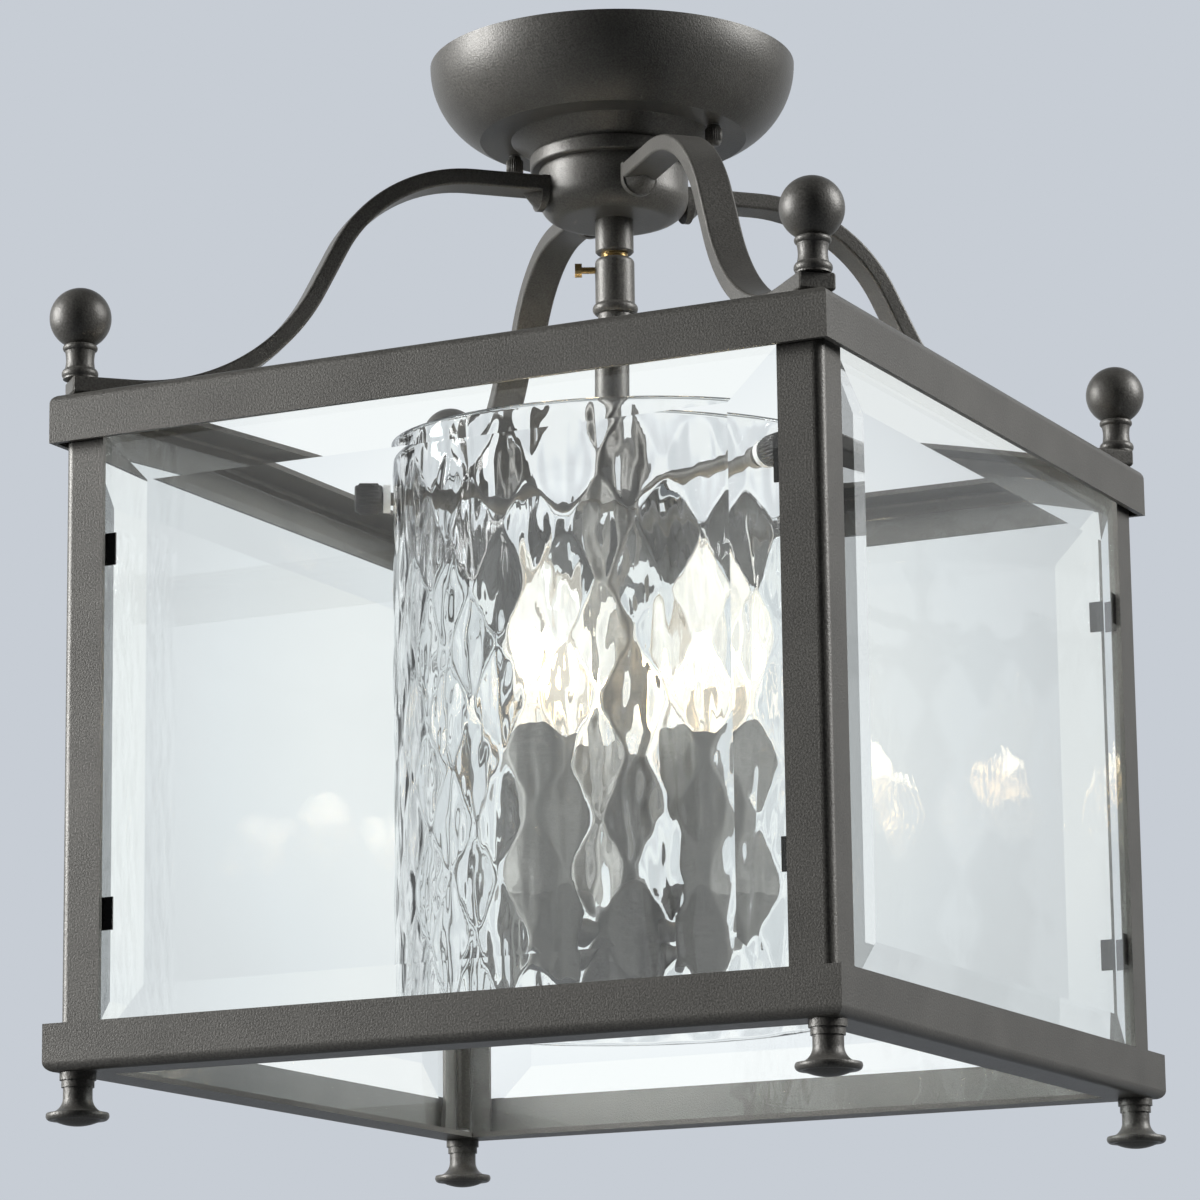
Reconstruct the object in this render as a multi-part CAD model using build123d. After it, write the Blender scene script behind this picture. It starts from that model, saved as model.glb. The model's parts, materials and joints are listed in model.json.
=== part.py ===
from build123d import *
import os
from math import cos, radians, sin, sqrt

# Semi flush ceiling light: a square lantern cage on four curved arms under a round canopy, with bevelled
# panes round a hammered glass cylinder that hangs on a stem and holds three candle lamps.
# Millimetres. The origin is on the ceiling at the canopy's centre, +Z up, the front pane faces -Y.

# Canopy, strap and its fasteners
CANOPY_R = 67.9
CANOPY_WALL = 1.5
CANOPY_FLAT_R = 49.5
CANOPY_FLAT_Z = -28.4
CANOPY_CONE_R = 38.0
CANOPY_BOSS_R = 29.5
CANOPY_BOTTOM_Z = -34.9
STRAP_TOP_Z = -0.2
STRAP_SHEET = 2.0
STRAP_WIDTH = 18.0
STRAP_LENGTH = 116.0
STRAP_CROSS_LENGTH = 100.0
BOX_SCREW_SPACING = 88.9
BOX_SLOT_LENGTH = 14.0
BOX_SLOT_WIDTH = 4.8
STUD_X = 41.3
STUD_R = 2.0
STUD_END_Z = -35.0
STUD_POINT = 0.5
CANOPY_NUT_R = 3.2
CANOPY_NUT_EDGE = 0.7
CANOPY_NUT_CAP = 1.5
CANOPY_NUT_PLAY = 0.1

# Hub stack on the threaded nipple
COLLAR_R = 31.0
COLLAR_BOTTOM_Z = -40.5
COLLAR_EDGE_R = 1.0
HUB_R = 27.7
HUB_WALL = 2.0
HUB_BOTTOM_Z = -59.6
HUB_ROUND = 8.5
NIPPLE_R = 5.0
NIPPLE_BORE_R = 3.6
NIPPLE_TOP_Z = -27.4
NIPPLE_BOTTOM_Z = -86.0
LOCKNUT_R = 8.2
LOCKNUT_HEIGHT = 4.0
UPPER_STEM_R = 7.1
UPPER_STEM_BOTTOM_Z = -72.1
UPPER_STEM_EDGE = 0.6

# Cage of bent angle
CAGE_HALF = 150.0
RING_SHEET = 2.0
RING_LEDGE = 18.0
BEND_R = 3.5
TOP_RING_Z = -140.8
TOP_RING_DEPTH = 17.8
BOTTOM_RING_Z = -381.0
BOTTOM_RING_DEPTH = 16.6
POST_HALF = 146.0
POST_LEG = 16.0
POST_SHEET = 1.8
POST_COPE = 7.0
POST_COPE_DEPTH = 4.0
FINIAL_CORNER = 142.3
FOOT_CORNER = 141.0
CORNER_HOLE_R = 1.9

# Arms: flat bar that leaves the hub level, drops on a slope and lands level on the cage corner
ARM_WIDTH = 13.0
ARM_THICK = 6.1
ARM_EDGE_R = 1.0
ARM_HUB_Z = -48.8
ARM_LEVEL_END = 56.0
ARM_SLOPE = 63.0
ARM_UPPER_R = 57.0
ARM_LOWER_R = 76.0
ARM_TAIL = 3.9
ARM_END_EDGE = 0.6
ARM_PAD_THICK = 2.2
ARM_PAD_Z = -51.6
ARM_CONE_R = 5.8
ARM_CONE_TIP_R = 0.3
ARM_SCREW_R = 2.0
ARM_SCREW_LENGTH = 10.5
ARM_SCREW_HEAD_R = 3.2
ARM_SCREW_HEAD = 2.0

# Ball finials and their nuts at the cage's top corners
FINIAL_STUD_R = 1.75
FINIAL_STUD_END_Z = -146.2
FINIAL_FOOT_R = 6.0
FINIAL_FOOT = 0.6
FINIAL_BEAD_R = 6.5
FINIAL_BEAD = 3.2
FINIAL_NECK_END_R = 5.4
FINIAL_NECK_R = 5.0
FINIAL_FLANGE_R = 6.2
FINIAL_FLANGE_TOP_R = 5.7
FINIAL_FLANGE = 2.3
FINIAL_HEIGHT = 12.5
BALL_R = 11.0
BALL_Z = -112.2
FINIAL_NUT_R = 2.9
FINIAL_NUT_HEIGHT = 2.8

# Turned feet and their screws at the cage's bottom corners, depths measured down from the ring
FOOT_TOP_R = 6.35
FOOT_TOP_DEPTH = 2.6
FOOT_STEP_R = 5.7
FOOT_STEP_DEPTH = 5.1
FOOT_NECK_R = 5.1
FOOT_NECK_DEPTH = 8.6
FOOT_LIP_R = 10.65
FOOT_LIP_DEPTH = 13.9
FOOT_FLARE_R = 10.95
FOOT_FLARE_DEPTH = 15.1
FOOT_SOLE_R = 9.95
FOOT_SOLE_DEPTH = 16.4
FOOT_DISC_R = 8.35
FOOT_BOTTOM_Z = -399.4
FOOT_SCREW_HEAD_R = 2.9
FOOT_SCREW_HEAD = 2.5
FOOT_SCREW_EDGE = 0.7
FOOT_SCREW_END_Z = -391.0

# Bevelled panes and the clips that hold them to the posts
PANE_HALF = 137.8
PANE_TOP_Z = -149.4
PANE_THICK = 4.5
PANE_EDGE = 2.0
PANE_BEVEL = 26.0
PANE_PLAY = 0.02
CLIP_HEIGHTS = (-197.7, -326.7)
CLIP_HEIGHT = 11.5
CLIP_SHEET = 0.8
CLIP_REACH = 126.5

# Stem of the light unit
COUPLING_R = 7.3
COUPLING_TOP_Z = -74.1
COUPLING_ROUND = 1.9
COUPLING_BEAD_Z = -91.6
COUPLING_BEAD_R = 8.4
COUPLING_BOTTOM_Z = -95.4
COUPLING_FLOOR_Z = -87.0
RUNNING_GAP = 0.05
STEM_R = 6.4
STEM_BORE_R = 4.4
STEM_TOP_Z = -89.0
STEM_BOTTOM_Z = -318.0
SET_SCREW_ANGLE = 206.6
SET_SCREW_Z = -78.4
SET_SCREW_R = 1.2
SET_SCREW_TIP = 5.3
SET_SCREW_HEAD_FROM = 12.2
SET_SCREW_HEAD_TO = 14.8
SET_SCREW_HEAD_R = 2.6
SET_SCREW_SLOT_WIDTH = 0.7
SET_SCREW_SLOT_DEPTH = 0.8

# Hammered glass cylinder and the three-armed holder that carries it
GLASS_R = 82.5
GLASS_WALL = 4.0
GLASS_TOP_Z = -152.3
GLASS_BOTTOM_Z = -357.0
HOLDER_Z = -166.0
HOLDER_ANGLES = (90, 210, 330)
HOLDER_HUB_R = 10.0
HOLDER_HUB_HEIGHT = 10.0
HOLDER_ROD_R = 2.4
HOLDER_SHOULDER_R = 4.2
HOLDER_SHOULDER = 3.0
HOLDER_END = 92.6
GLASS_HOLE_R = 3.0
WASHER_R = 5.2
WASHER_THICK = 2.6
GLASS_NUT_R = 5.8
GLASS_NUT_EDGE = 1.0
GLASS_NUT_FROM = 85.3
GLASS_NUT_TO = 95.5
GLASS_NUT_BORE_END = 93.2

# Cluster of three candle lamps
LAMP_ANGLES = (0, 120, 240)
LAMP_RADIUS = 33.0
CLUSTER_R = 14.0
CLUSTER_TOP_Z = -310.0
CLUSTER_TOP_R = 10.0
CLUSTER_SHOULDER_Z = -315.0
CLUSTER_SHOULDER_R = 6.0
CLUSTER_BELLY_Z = -334.0
CLUSTER_CURVE = (10.5, -338.4)
CLUSTER_KNOB_R = 4.0
CLUSTER_BOTTOM_Z = -342.0
LAMP_ARM_R = 4.0
LAMP_ARM_Z = -327.0
LAMP_ARM_FROM = 12.0
CUP_FOOT_R = 8.0
CUP_LIP_R = 13.4
CUP_BOTTOM_Z = -337.0
CUP_STEP_Z = -315.0
CUP_TOP_Z = -311.0
CUP_FLOOR = 2.0
SLEEVE_R = 12.0
SLEEVE_WALL = 1.2
SLEEVE_TOP_Z = -256.0
SOCKET_R = 9.5
SOCKET_FOOT_R = 5.0
SOCKET_TOP_Z = -262.0
SOCKET_BORE_R = 6.7
SOCKET_BORE_Z = -290.0
BULB_BASE_R = 6.1
BULB_BASE_BOTTOM_Z = -288.0
BULB_CONTACT_R = 2.0
BULB_CONE_R = 4.6
BULB_CONE_Z = -285.0
BULB_SHELL_Z = -284.0
BULB_NECK_Z = -263.0
BULB_NECK_R = 6.0
BULB_R = 15.0
BULB_BELLY_Z = -233.0
BULB_SHOULDER_R = 8.0
BULB_SHOULDER_Z = -196.0
BULB_TIP_Z = -182.0
BULB_WALL = 0.9

# Sizes that follow from the ones above
LEDGE_TOP_Z = BOTTOM_RING_Z + RING_SHEET
TOP_LEDGE_UNDER_Z = TOP_RING_Z - RING_SHEET
TONGUE_TOP_Z = TOP_RING_Z + ARM_THICK
FINIAL_REACH = FINIAL_CORNER * sqrt(2)
POST_INNER = POST_HALF - POST_SHEET
PANE_LAP = PANE_HALF - (POST_HALF - POST_LEG)
PANE_SEAT = PANE_EDGE + (PANE_THICK - PANE_EDGE) * PANE_LAP / PANE_BEVEL
PANE_BACK = POST_INNER - PANE_PLAY - PANE_SEAT


def turned(*profile):
    """Solid turned about Z from profile lines and arcs drawn as (radius, height)."""
    return revolve(Plane.XZ * make_face(profile), Axis.Z)


def turned_points(*points):
    """Solid turned about Z from a straight-sided profile of (radius, height) points."""
    return turned(Polyline(*points, close=True))


def drill(radius, low, high):
    """Round cutter on the Z axis between two heights."""
    return Pos(0, 0, low) * Cylinder(radius, high - low, align=(Align.CENTER, Align.CENTER, Align.MIN))


def tube(radius, bore, low, high):
    """Round tube on the Z axis between two heights."""
    return drill(radius, low, high) - drill(bore, low, high)


def radial(shape, angle, height):
    """Turn a piece built along +Z so that it points outwards at this angle and height."""
    return Pos(0, 0, height) * Rot(0, 0, angle) * Rot(0, 90, 0) * shape


def at_corners(shape, corner):
    """Four copies, one on each cage corner's axis."""
    return [Pos(corner * x, corner * y, 0) * shape for x, y in ((1, -1), (1, 1), (-1, 1), (-1, -1))]


def on_sides(shape):
    """Four copies turned a quarter turn each about the cage's axis."""
    return [Rot(0, 0, 90 * side) * shape for side in range(4)]


def on_lamps(shape):
    """Three copies, one on each lamp's axis."""
    return [Rot(0, 0, angle) * Pos(LAMP_RADIUS, 0, 0) * shape for angle in LAMP_ANGLES]


def angle_section(leg_in, leg_down, sheet):
    """Bent angle's L section: outer corner at the origin, one leg along -X and one along -Y."""
    section = make_face(Polyline(
        (0, 0), (-leg_in, 0), (-leg_in, -sheet), (-sheet, -sheet), (-sheet, -leg_down), (0, -leg_down),
        close=True))
    section = fillet(section.vertices().sort_by_distance((0, 0, 0))[0], BEND_R)
    return fillet(section.vertices().sort_by_distance((-sheet, -sheet, 0))[0], BEND_R - sheet)


def bowl(inset):
    """Canopy's outer form as a solid, drawn in by the inset."""
    rim = (CANOPY_R - inset, 0)
    flat_edge = (CANOPY_FLAT_R - inset / 2, CANOPY_FLAT_Z + inset)
    return turned(
        Line((0, 0), rim),
        TangentArc(rim, flat_edge, tangent=(0, -1)),
        Polyline(flat_edge, (CANOPY_CONE_R, CANOPY_FLAT_Z + inset), (CANOPY_BOSS_R, CANOPY_BOTTOM_Z + inset),
                 (0, CANOPY_BOTTOM_Z + inset), (0, 0)))


def canopy():
    shell = bowl(0) - bowl(CANOPY_WALL)
    shell -= drill(NIPPLE_R, CANOPY_BOTTOM_Z, CANOPY_FLAT_Z)
    for side in (-1, 1):
        shell -= Pos(side * STUD_X, 0, 0) * drill(STUD_R, CANOPY_BOTTOM_Z, CANOPY_FLAT_Z + 2 * CANOPY_WALL)
    return shell


def mounting_strap():
    plate = Rectangle(STRAP_CROSS_LENGTH, STRAP_WIDTH) + Rectangle(STRAP_WIDTH, STRAP_LENGTH)
    slot = Rot(0, 0, 90) * SlotOverall(BOX_SLOT_LENGTH, BOX_SLOT_WIDTH)
    for side in (-1, 1):
        plate -= Pos(0, side * BOX_SCREW_SPACING / 2) * slot
        plate -= Pos(side * STUD_X, 0) * Circle(STUD_R)
    return Pos(0, 0, STRAP_TOP_Z - STRAP_SHEET) * extrude(plate, STRAP_SHEET)


def canopy_studs():
    stud = chamfer(drill(STUD_R, STUD_END_Z, STRAP_TOP_Z).edges().sort_by(Axis.Z)[0], STUD_POINT)
    return [Pos(side * STUD_X, 0, 0) * stud for side in (-1, 1)]


def canopy_nut():
    """Closed knurled thumb nut that screws up the stud against the canopy's flat."""
    top = CANOPY_FLAT_Z - CANOPY_NUT_PLAY
    end = STUD_END_Z - RUNNING_GAP
    bottom = end - CANOPY_NUT_CAP
    bore = STUD_R + RUNNING_GAP
    return turned_points(
        (bore, top), (CANOPY_NUT_R, top), (CANOPY_NUT_R, bottom + CANOPY_NUT_EDGE),
        (CANOPY_NUT_R - CANOPY_NUT_EDGE, bottom), (0, bottom), (0, end), (bore, end))


def hub_collar():
    ring = tube(COLLAR_R, NIPPLE_R, COLLAR_BOTTOM_Z, CANOPY_BOTTOM_Z)
    rim = ring.edges().filter_by(GeomType.CIRCLE).sort_by(SortBy.RADIUS)[-2:]
    return fillet(rim, COLLAR_EDGE_R)


def hub():
    """Round-bottomed cup under the collar, drilled for the nipple and for the four arm screws."""
    cup = drill(HUB_R, HUB_BOTTOM_Z, COLLAR_BOTTOM_Z)
    cup = fillet(cup.edges().sort_by(Axis.Z)[0], HUB_ROUND)
    hollow = drill(HUB_R - HUB_WALL, HUB_BOTTOM_Z + HUB_WALL, COLLAR_BOTTOM_Z)
    cup -= fillet(hollow.edges().sort_by(Axis.Z)[0], HUB_ROUND - HUB_WALL)
    cup -= drill(NIPPLE_R, HUB_BOTTOM_Z, COLLAR_BOTTOM_Z)
    for side in range(4):
        cup -= radial(drill(ARM_SCREW_R, 0, COLLAR_R), 45 + 90 * side, ARM_HUB_Z)
    return cup


def hub_nipple():
    return tube(NIPPLE_R, NIPPLE_BORE_R, NIPPLE_BOTTOM_Z, NIPPLE_TOP_Z)


def hub_locknut():
    seat = CANOPY_BOTTOM_Z + CANOPY_WALL
    return Pos(0, 0, seat) * extrude(RegularPolygon(LOCKNUT_R, 6) - Circle(NIPPLE_R), LOCKNUT_HEIGHT)


def upper_stem():
    rod = drill(UPPER_STEM_R, UPPER_STEM_BOTTOM_Z, HUB_BOTTOM_Z)
    rod = chamfer(rod.edges().sort_by(Axis.Z)[0], UPPER_STEM_EDGE)
    return rod - drill(NIPPLE_R, UPPER_STEM_BOTTOM_Z, HUB_BOTTOM_Z)


def arm_path():
    """Centre line of an arm: level, bend down, slope, bend back, level to just past the corner's axis."""
    end_z = TOP_RING_Z + ARM_THICK / 2
    bends_drop = (ARM_UPPER_R + ARM_LOWER_R) * (1 - cos(radians(ARM_SLOPE)))
    slope_length = (ARM_HUB_Z - end_z - bends_drop) / sin(radians(ARM_SLOPE))
    level = Line((HUB_R, ARM_HUB_Z), (ARM_LEVEL_END, ARM_HUB_Z))
    upper = JernArc(level @ 1, level % 1, ARM_UPPER_R, -ARM_SLOPE)
    slope = PolarLine(upper @ 1, slope_length, direction=upper % 1)
    lower = JernArc(slope @ 1, slope % 1, ARM_LOWER_R, ARM_SLOPE)
    landing = Line(lower @ 1, (FINIAL_REACH + ARM_TAIL, end_z))
    return Plane.XZ * Wire([level, upper, slope, lower, landing])


def arm_root():
    """Hub end of an arm: a pad with a half-round foot and the cone that carries it into the bar."""
    pad_top = ARM_HUB_Z + ARM_THICK / 2
    pad_face = HUB_R + ARM_PAD_THICK
    pad = Pos(0, ARM_PAD_Z) * Circle(ARM_WIDTH / 2)
    pad += Pos(0, (ARM_PAD_Z + pad_top) / 2) * Rectangle(ARM_WIDTH, pad_top - ARM_PAD_Z)
    cone_end = pad_face + ARM_CONE_R - ARM_CONE_TIP_R
    cone = turned_points(
        (0, 0), (ARM_CONE_R, 0), (ARM_CONE_R, pad_face), (ARM_CONE_TIP_R, cone_end), (0, cone_end))
    return extrude(Plane.YZ * pad, pad_face) + radial(cone, 0, ARM_PAD_Z)


def arm():
    """Curved flat bar along +X, rooted on the hub and cut square past the finial at the corner."""
    path = arm_path()
    start = Plane(origin=path @ 0, x_dir=(0, 1, 0), z_dir=path % 0)
    bar = sweep(start * RectangleRounded(ARM_WIDTH, ARM_THICK, ARM_EDGE_R), path=path)
    bar = chamfer(bar.faces().sort_by(Axis.X)[-1].edges(), ARM_END_EDGE)
    bar += arm_root()
    bar -= drill(HUB_R, HUB_BOTTOM_Z, COLLAR_BOTTOM_Z)
    bar -= Pos(FINIAL_REACH, 0, 0) * drill(CORNER_HOLE_R, TOP_RING_Z, TONGUE_TOP_Z)
    return bar - radial(drill(ARM_SCREW_R, 0, HUB_R + ARM_SCREW_LENGTH), 0, ARM_HUB_Z)


def arm_screw():
    """Screw through the hub's wall into an arm, its head inside the hub, along +Z from the axis."""
    inner = HUB_R - HUB_WALL
    seat = sqrt(inner ** 2 - ARM_SCREW_HEAD_R ** 2)
    head = drill(ARM_SCREW_HEAD_R, seat - ARM_SCREW_HEAD, seat)
    return head + drill(ARM_SCREW_R, seat, HUB_R + ARM_SCREW_LENGTH)


def ring(depth, corner):
    """Square frame of mitred angle: ledge on top at z 0, outer leg hanging by the depth."""
    path = Polyline(
        (CAGE_HALF, 0), (CAGE_HALF, CAGE_HALF), (-CAGE_HALF, CAGE_HALF), (-CAGE_HALF, -CAGE_HALF),
        (CAGE_HALF, -CAGE_HALF), close=True)
    section = Plane.XZ * Pos(CAGE_HALF, 0) * angle_section(RING_LEDGE, depth, RING_SHEET)
    frame = sweep(section, path=path, transition=Transition.RIGHT)
    for hole in at_corners(drill(CORNER_HOLE_R, -RING_SHEET, 0), corner):
        frame -= hole
    return frame


def post():
    """Angle post of the front right corner, coped at the top to clear the finial's nut."""
    section = Rot(0, 0, -90) * angle_section(POST_LEG, POST_LEG, POST_SHEET)
    angle = Pos(POST_HALF, -POST_HALF, LEDGE_TOP_Z) * extrude(section, TOP_LEDGE_UNDER_Z - LEDGE_TOP_Z)
    cope = Box(2 * POST_COPE, 2 * POST_COPE, 2 * POST_COPE_DEPTH)
    return angle - Pos(POST_HALF, -POST_HALF, TOP_LEDGE_UNDER_Z) * cope


def ball_finial():
    """Turned ball on a flanged, waisted neck with a beaded foot and the stud that pins an arm to the cage."""
    bead_low = TONGUE_TOP_Z + FINIAL_FOOT
    bead_high = bead_low + FINIAL_BEAD
    flange_high = TONGUE_TOP_Z + FINIAL_HEIGHT
    flange_low = flange_high - FINIAL_FLANGE
    ball_foot = (sqrt(BALL_R ** 2 - (BALL_Z - flange_high) ** 2), flange_high)
    foot = (FINIAL_FOOT_R, bead_low)
    neck_low = (FINIAL_NECK_END_R, bead_high)
    neck_high = (FINIAL_NECK_END_R, flange_low)
    flange_edge = (FINIAL_FLANGE_TOP_R, flange_high)
    return turned(
        Polyline((0, BALL_Z + BALL_R), (0, FINIAL_STUD_END_Z), (FINIAL_STUD_R, FINIAL_STUD_END_Z),
                 (FINIAL_STUD_R, TONGUE_TOP_Z), (FINIAL_FOOT_R, TONGUE_TOP_Z), foot),
        ThreePointArc(foot, (FINIAL_BEAD_R, (bead_low + bead_high) / 2), neck_low),
        ThreePointArc(neck_low, (FINIAL_NECK_R, (bead_high + flange_low) / 2), neck_high),
        ThreePointArc(neck_high, (FINIAL_FLANGE_R, (flange_low + flange_high) / 2), flange_edge),
        Line(flange_edge, ball_foot),
        ThreePointArc(ball_foot, (BALL_R, BALL_Z), (0, BALL_Z + BALL_R)))


def finial_nut():
    nut = extrude(RegularPolygon(FINIAL_NUT_R, 6) - Circle(FINIAL_STUD_R), FINIAL_NUT_HEIGHT)
    return Pos(0, 0, TOP_LEDGE_UNDER_Z - FINIAL_NUT_HEIGHT) * nut


def foot_finial():
    """Turned foot under a cage corner: two rings, a waisted neck and a wide flare, tapped from above."""
    step = BOTTOM_RING_Z - FOOT_TOP_DEPTH
    neck = BOTTOM_RING_Z - FOOT_STEP_DEPTH
    waist = (FOOT_NECK_R, BOTTOM_RING_Z - FOOT_NECK_DEPTH)
    lip = (FOOT_LIP_R, BOTTOM_RING_Z - FOOT_LIP_DEPTH)
    flare = (FOOT_FLARE_R, BOTTOM_RING_Z - FOOT_FLARE_DEPTH)
    sole = (FOOT_SOLE_R, BOTTOM_RING_Z - FOOT_SOLE_DEPTH)
    disc = (FOOT_DISC_R, BOTTOM_RING_Z - FOOT_SOLE_DEPTH)
    return turned(
        Polyline((FINIAL_STUD_R, FOOT_SCREW_END_Z), (FINIAL_STUD_R, BOTTOM_RING_Z),
                 (FOOT_TOP_R, BOTTOM_RING_Z), (FOOT_TOP_R, step), (FOOT_STEP_R, step), (FOOT_STEP_R, neck),
                 (FOOT_NECK_R, neck), waist),
        TangentArc(waist, lip, tangent=(0, -1)),
        ThreePointArc(lip, flare, sole),
        Line(sole, disc),
        TangentArc((0, FOOT_BOTTOM_Z), disc, tangent=(1, 0)),
        Polyline((0, FOOT_BOTTOM_Z), (0, FOOT_SCREW_END_Z), (FINIAL_STUD_R, FOOT_SCREW_END_Z)))


def foot_screw():
    head = drill(FOOT_SCREW_HEAD_R, LEDGE_TOP_Z, LEDGE_TOP_Z + FOOT_SCREW_HEAD)
    head = chamfer(head.edges().sort_by(Axis.Z)[-1], FOOT_SCREW_EDGE)
    return head + drill(FINIAL_STUD_R, FOOT_SCREW_END_Z, LEDGE_TOP_Z)


def pane():
    """Front pane: a slab as thick as the pane's edge, raised outwards to the flat by a wide bevel."""
    height = PANE_TOP_Z - LEDGE_TOP_Z
    middle = Pos(0, (PANE_TOP_Z + LEDGE_TOP_Z) / 2)
    full = middle * Rectangle(2 * PANE_HALF, height)
    flat = middle * Rectangle(2 * (PANE_HALF - PANE_BEVEL), height - 2 * PANE_BEVEL)
    slab = extrude(Plane.XZ.offset(PANE_BACK) * full, PANE_EDGE)
    bevel_foot = Plane.XZ.offset(PANE_BACK + PANE_EDGE) * full
    bevel_top = Plane.XZ.offset(PANE_BACK + PANE_THICK) * flat
    return slab + loft([bevel_foot, bevel_top], ruled=True)


def pane_clip():
    """Spring clip of the front right corner at z 0: two tabs behind the panes and a stem to the post."""
    reach = PANE_BACK - CLIP_REACH
    outer = PANE_BACK - CLIP_SHEET / 2
    tabs = Pos(PANE_BACK - reach / 2, -outer) * Rectangle(reach, CLIP_SHEET)
    tabs += Pos(outer, reach / 2 - PANE_BACK) * Rectangle(CLIP_SHEET, reach)
    stem_length = (POST_INNER - outer) * sqrt(2)
    stem_middle = (POST_INNER + outer) / 2
    tabs += Pos(stem_middle, -stem_middle) * Rot(0, 0, -45) * Rectangle(stem_length, CLIP_SHEET)
    return extrude(tabs, CLIP_HEIGHT / 2, both=True)


def pane_clips():
    """The two clips of the front right post, cut to its bend and repeated on every post."""
    pair = [Pos(0, 0, height) * pane_clip() - post() for height in CLIP_HEIGHTS]
    return [turned_clip for clip in pair for turned_clip in on_sides(clip)]


def stem_coupling():
    """Round-topped sleeve with a bead at its foot: runs on the nipple above, holds the stem tube below."""
    bore = NIPPLE_R + RUNNING_GAP
    bead_top = (COUPLING_R, COUPLING_BEAD_Z)
    bead_crest = (COUPLING_BEAD_R, (COUPLING_BEAD_Z + COUPLING_BOTTOM_Z) / 2)
    bead_foot = (COUPLING_R, COUPLING_BOTTOM_Z)
    crown = (COUPLING_R - COUPLING_ROUND, COUPLING_TOP_Z)
    shoulder = (COUPLING_R, COUPLING_TOP_Z - COUPLING_ROUND)
    wall = turned(
        Polyline((STEM_R, COUPLING_BOTTOM_Z), (STEM_R, STEM_TOP_Z), (STEM_BORE_R, STEM_TOP_Z),
                 (STEM_BORE_R, COUPLING_FLOOR_Z), (bore, COUPLING_FLOOR_Z), (bore, COUPLING_TOP_Z), crown),
        TangentArc(crown, shoulder, tangent=(1, 0)),
        Line(shoulder, bead_top),
        ThreePointArc(bead_top, bead_crest, bead_foot),
        Line(bead_foot, (STEM_R, COUPLING_BOTTOM_Z)))
    return wall - radial(drill(SET_SCREW_R + RUNNING_GAP, 0, COUPLING_BEAD_R), SET_SCREW_ANGLE, SET_SCREW_Z)


def lower_stem():
    return tube(STEM_R, STEM_BORE_R, STEM_BOTTOM_Z, STEM_TOP_Z)


def set_screw():
    """Small slotted screw that locks the coupling on the nipple."""
    head = drill(SET_SCREW_HEAD_R, SET_SCREW_HEAD_FROM, SET_SCREW_HEAD_TO)
    slot = Box(3 * SET_SCREW_HEAD_R, SET_SCREW_SLOT_WIDTH, 2 * SET_SCREW_SLOT_DEPTH)
    head -= Pos(0, 0, SET_SCREW_HEAD_TO) * slot
    screw = head + drill(SET_SCREW_R, SET_SCREW_TIP, SET_SCREW_HEAD_FROM)
    return radial(screw, SET_SCREW_ANGLE, SET_SCREW_Z)


def glass_holder():
    """Ring on the stem with three rods that reach out through the glass."""
    half = HOLDER_HUB_HEIGHT / 2
    inner = GLASS_R - GLASS_WALL
    shoulder_end = sqrt(inner ** 2 - HOLDER_SHOULDER_R ** 2)
    holder = drill(HOLDER_HUB_R, HOLDER_Z - half, HOLDER_Z + half)
    rod = drill(HOLDER_ROD_R, 0, HOLDER_END)
    rod += drill(HOLDER_SHOULDER_R, shoulder_end - HOLDER_SHOULDER, shoulder_end)
    for angle in HOLDER_ANGLES:
        holder += radial(rod, angle, HOLDER_Z)
    return holder - drill(STEM_R, HOLDER_Z - half, HOLDER_Z + half)


def glass_cylinder():
    wall = tube(GLASS_R, GLASS_R - GLASS_WALL, GLASS_BOTTOM_Z, GLASS_TOP_Z)
    for angle in HOLDER_ANGLES:
        wall -= radial(drill(GLASS_HOLE_R, 0, 2 * GLASS_R), angle, HOLDER_Z)
    return wall


def glass_washers():
    washer = tube(WASHER_R, HOLDER_ROD_R, GLASS_R, GLASS_R + WASHER_THICK)
    return [radial(washer, angle, HOLDER_Z) for angle in HOLDER_ANGLES]


def glass_nut():
    """Closed knurled nut on the end of a holder rod, along +Z from the axis."""
    bore = HOLDER_ROD_R + RUNNING_GAP
    edge = GLASS_NUT_R - GLASS_NUT_EDGE
    return turned_points(
        (bore, GLASS_NUT_FROM), (edge, GLASS_NUT_FROM), (GLASS_NUT_R, GLASS_NUT_FROM + GLASS_NUT_EDGE),
        (GLASS_NUT_R, GLASS_NUT_TO - GLASS_NUT_EDGE), (edge, GLASS_NUT_TO), (0, GLASS_NUT_TO),
        (0, GLASS_NUT_BORE_END), (bore, GLASS_NUT_BORE_END))


def lamp_cup():
    """Flared cup on a lamp's axis: the sleeve stands on its step and the socket on its floor."""
    lip_bore = SLEEVE_R
    step_r = SLEEVE_R - SLEEVE_WALL
    floor = CUP_BOTTOM_Z + CUP_FLOOR
    foot_bore = CUP_FOOT_R - SLEEVE_WALL
    return turned_points(
        (0, CUP_BOTTOM_Z), (CUP_FOOT_R, CUP_BOTTOM_Z), (CUP_LIP_R, CUP_STEP_Z), (CUP_LIP_R, CUP_TOP_Z),
        (lip_bore, CUP_TOP_Z), (lip_bore, CUP_STEP_Z), (step_r, CUP_STEP_Z), (foot_bore, floor), (0, floor))


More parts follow.
